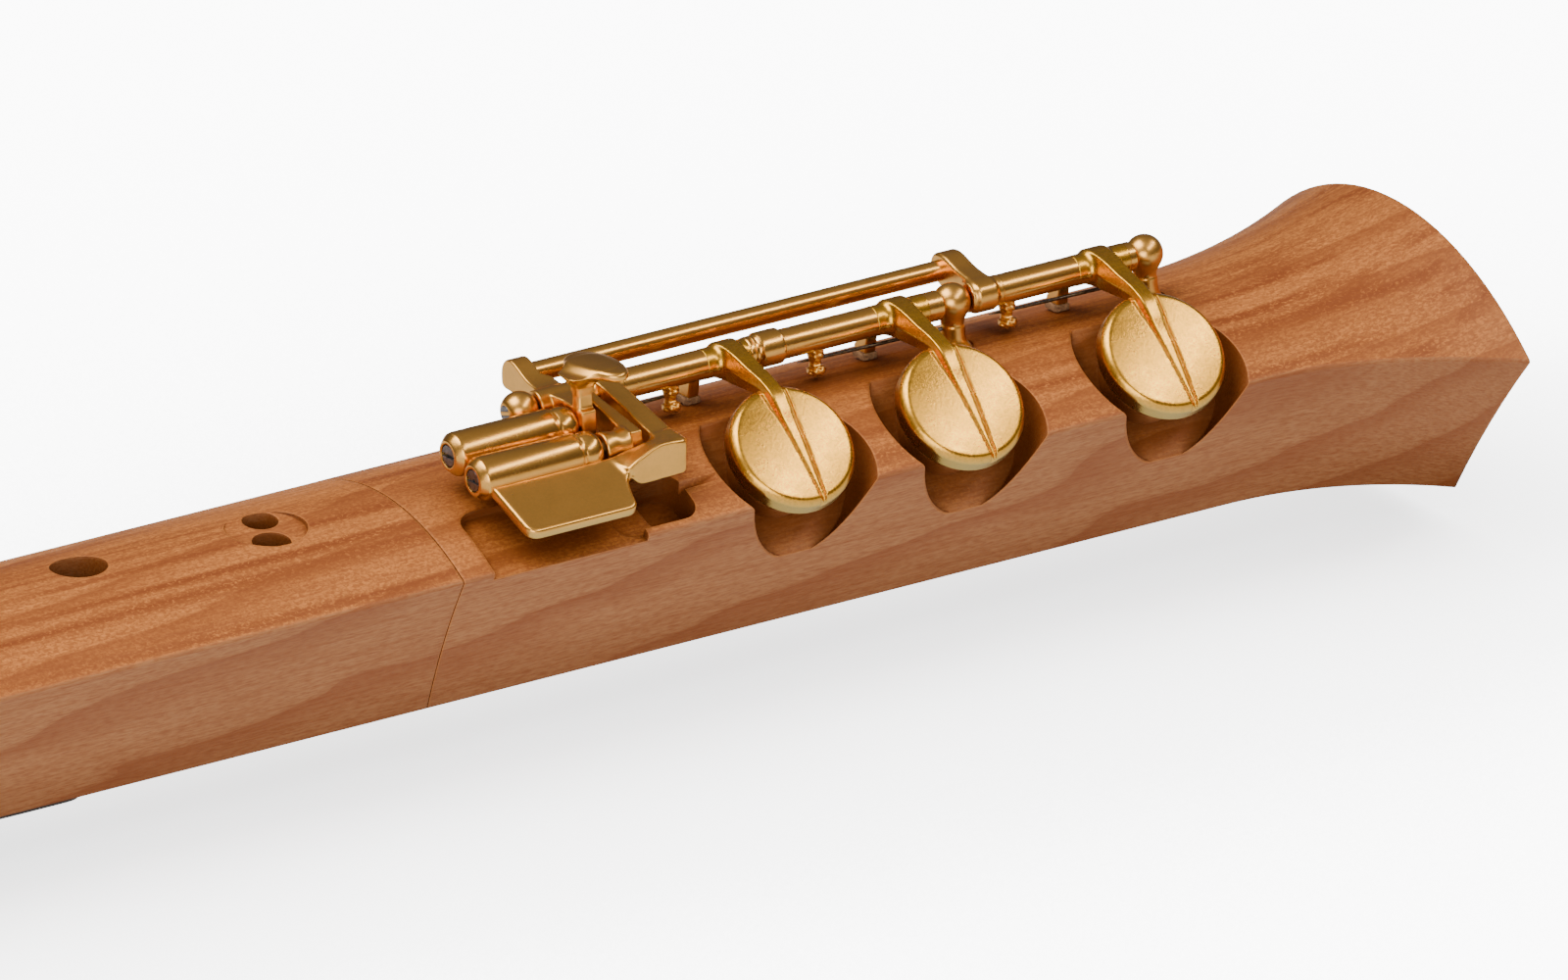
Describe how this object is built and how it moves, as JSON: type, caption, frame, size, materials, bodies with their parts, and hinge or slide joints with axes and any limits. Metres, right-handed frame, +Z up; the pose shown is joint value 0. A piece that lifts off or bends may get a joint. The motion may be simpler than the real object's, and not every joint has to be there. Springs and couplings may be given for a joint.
{
  "type": "keyed alto recorder",
  "caption": "Square-section wooden alto recorder in head, middle and foot joints; the foot has side cups worked by a plate and rollers on one hinge rod.",
  "frame": {"origin": "centre of the bore mouth at the bell's end face", "axes": "+X along the bore, out of the bell; +Z up through the finger holes; -Y the side with the key cups"},
  "size_m": [0.5732, 0.0684, 0.0502],
  "materials": {
    "pearwood": "oiled pearwood, satin",
    "cedar": "plain red cedar",
    "cork": "natural cork, matt",
    "pad_leather": "fine tan pad leather",
    "black_plastic": "satin black",
    "gold": "satin gold plate, bead blasted",
    "steel": "blued and ground steel"
  },
  "bodies": {
    "middle": {"middle_joint": "pearwood", "foot_tenon_cork": "cork", "head_tenon_cork": "cork", "thumb_rest": "black_plastic", "thumb_rest_screws": "steel"},
    "head": {"head_joint": "pearwood", "windway_block": "cedar"},
    "foot": {"foot_joint": "pearwood", "post_upper": "gold", "post_middle": "gold", "post_lower": "gold", "hinge_rod": "steel", "needle_spring_upper": "steel", "needle_spring_middle": "steel", "needle_spring_lower": "steel"},
    "f_sharp_key": {"f_sharp_tube": "gold", "f_sharp_cup": "gold", "f_sharp_pad": "pad_leather", "f_sharp_stop_heel": "gold", "f_sharp_stop_cork": "cork", "f_sharp_spring_hook": "gold", "f_sharp_touch": "gold"},
    "f_key": {"f_inner_tube": "gold", "f_tube": "gold", "f_collar": "gold", "f_cup": "gold", "f_pad": "pad_leather", "f_stop_heel": "gold", "f_stop_cork": "cork", "f_spring_hook": "gold", "f_lever": "gold", "front_roller_pin": "steel"},
    "e_key": {"e_lever": "gold", "e_bridge_rod": "gold", "e_crank": "gold", "e_tube": "gold", "e_cup": "gold", "e_pad": "pad_leather", "e_stop_heel": "gold", "e_stop_cork": "cork", "e_spring_hook": "gold", "rear_roller_pin": "steel"},
    "front_roller": {"front_roller": "gold"},
    "rear_roller": {"rear_roller": "gold"}
  },
  "joints": [
    {"name": "head_pull", "type": "slide", "parent": "middle", "child": "head", "axis": [-1, 0, 0], "range_m": [0, 0.008]},
    {"name": "foot_turn", "type": "hinge", "parent": "middle", "child": "foot", "pos_m": [-0.1632, 0, 0], "axis": [1, 0, 0], "range_deg": [-15, 15]},
    {"name": "f_sharp_key_press", "type": "hinge", "parent": "foot", "child": "f_sharp_key", "pos_m": [-0.1167, 0, 0.0205], "axis": [1, 0, 0], "range_deg": [0, 9]},
    {"name": "f_key_press", "type": "hinge", "parent": "foot", "child": "f_key", "pos_m": [-0.0862, 0, 0.0205], "axis": [1, 0, 0], "range_deg": [0, 9]},
    {"name": "e_key_press", "type": "hinge", "parent": "foot", "child": "e_key", "pos_m": [-0.0547, 0, 0.0205], "axis": [1, 0, 0], "range_deg": [0, 9]},
    {"name": "front_roller_spin", "type": "hinge", "parent": "f_key", "child": "front_roller", "pos_m": [-0.1477, -0.0128, 0.0176], "axis": [1, 0, 0], "continuous": true},
    {"name": "rear_roller_spin", "type": "hinge", "parent": "e_key", "child": "rear_roller", "pos_m": [-0.1477, -0.0065, 0.0193], "axis": [1, 0, 0], "continuous": true}
  ]
}
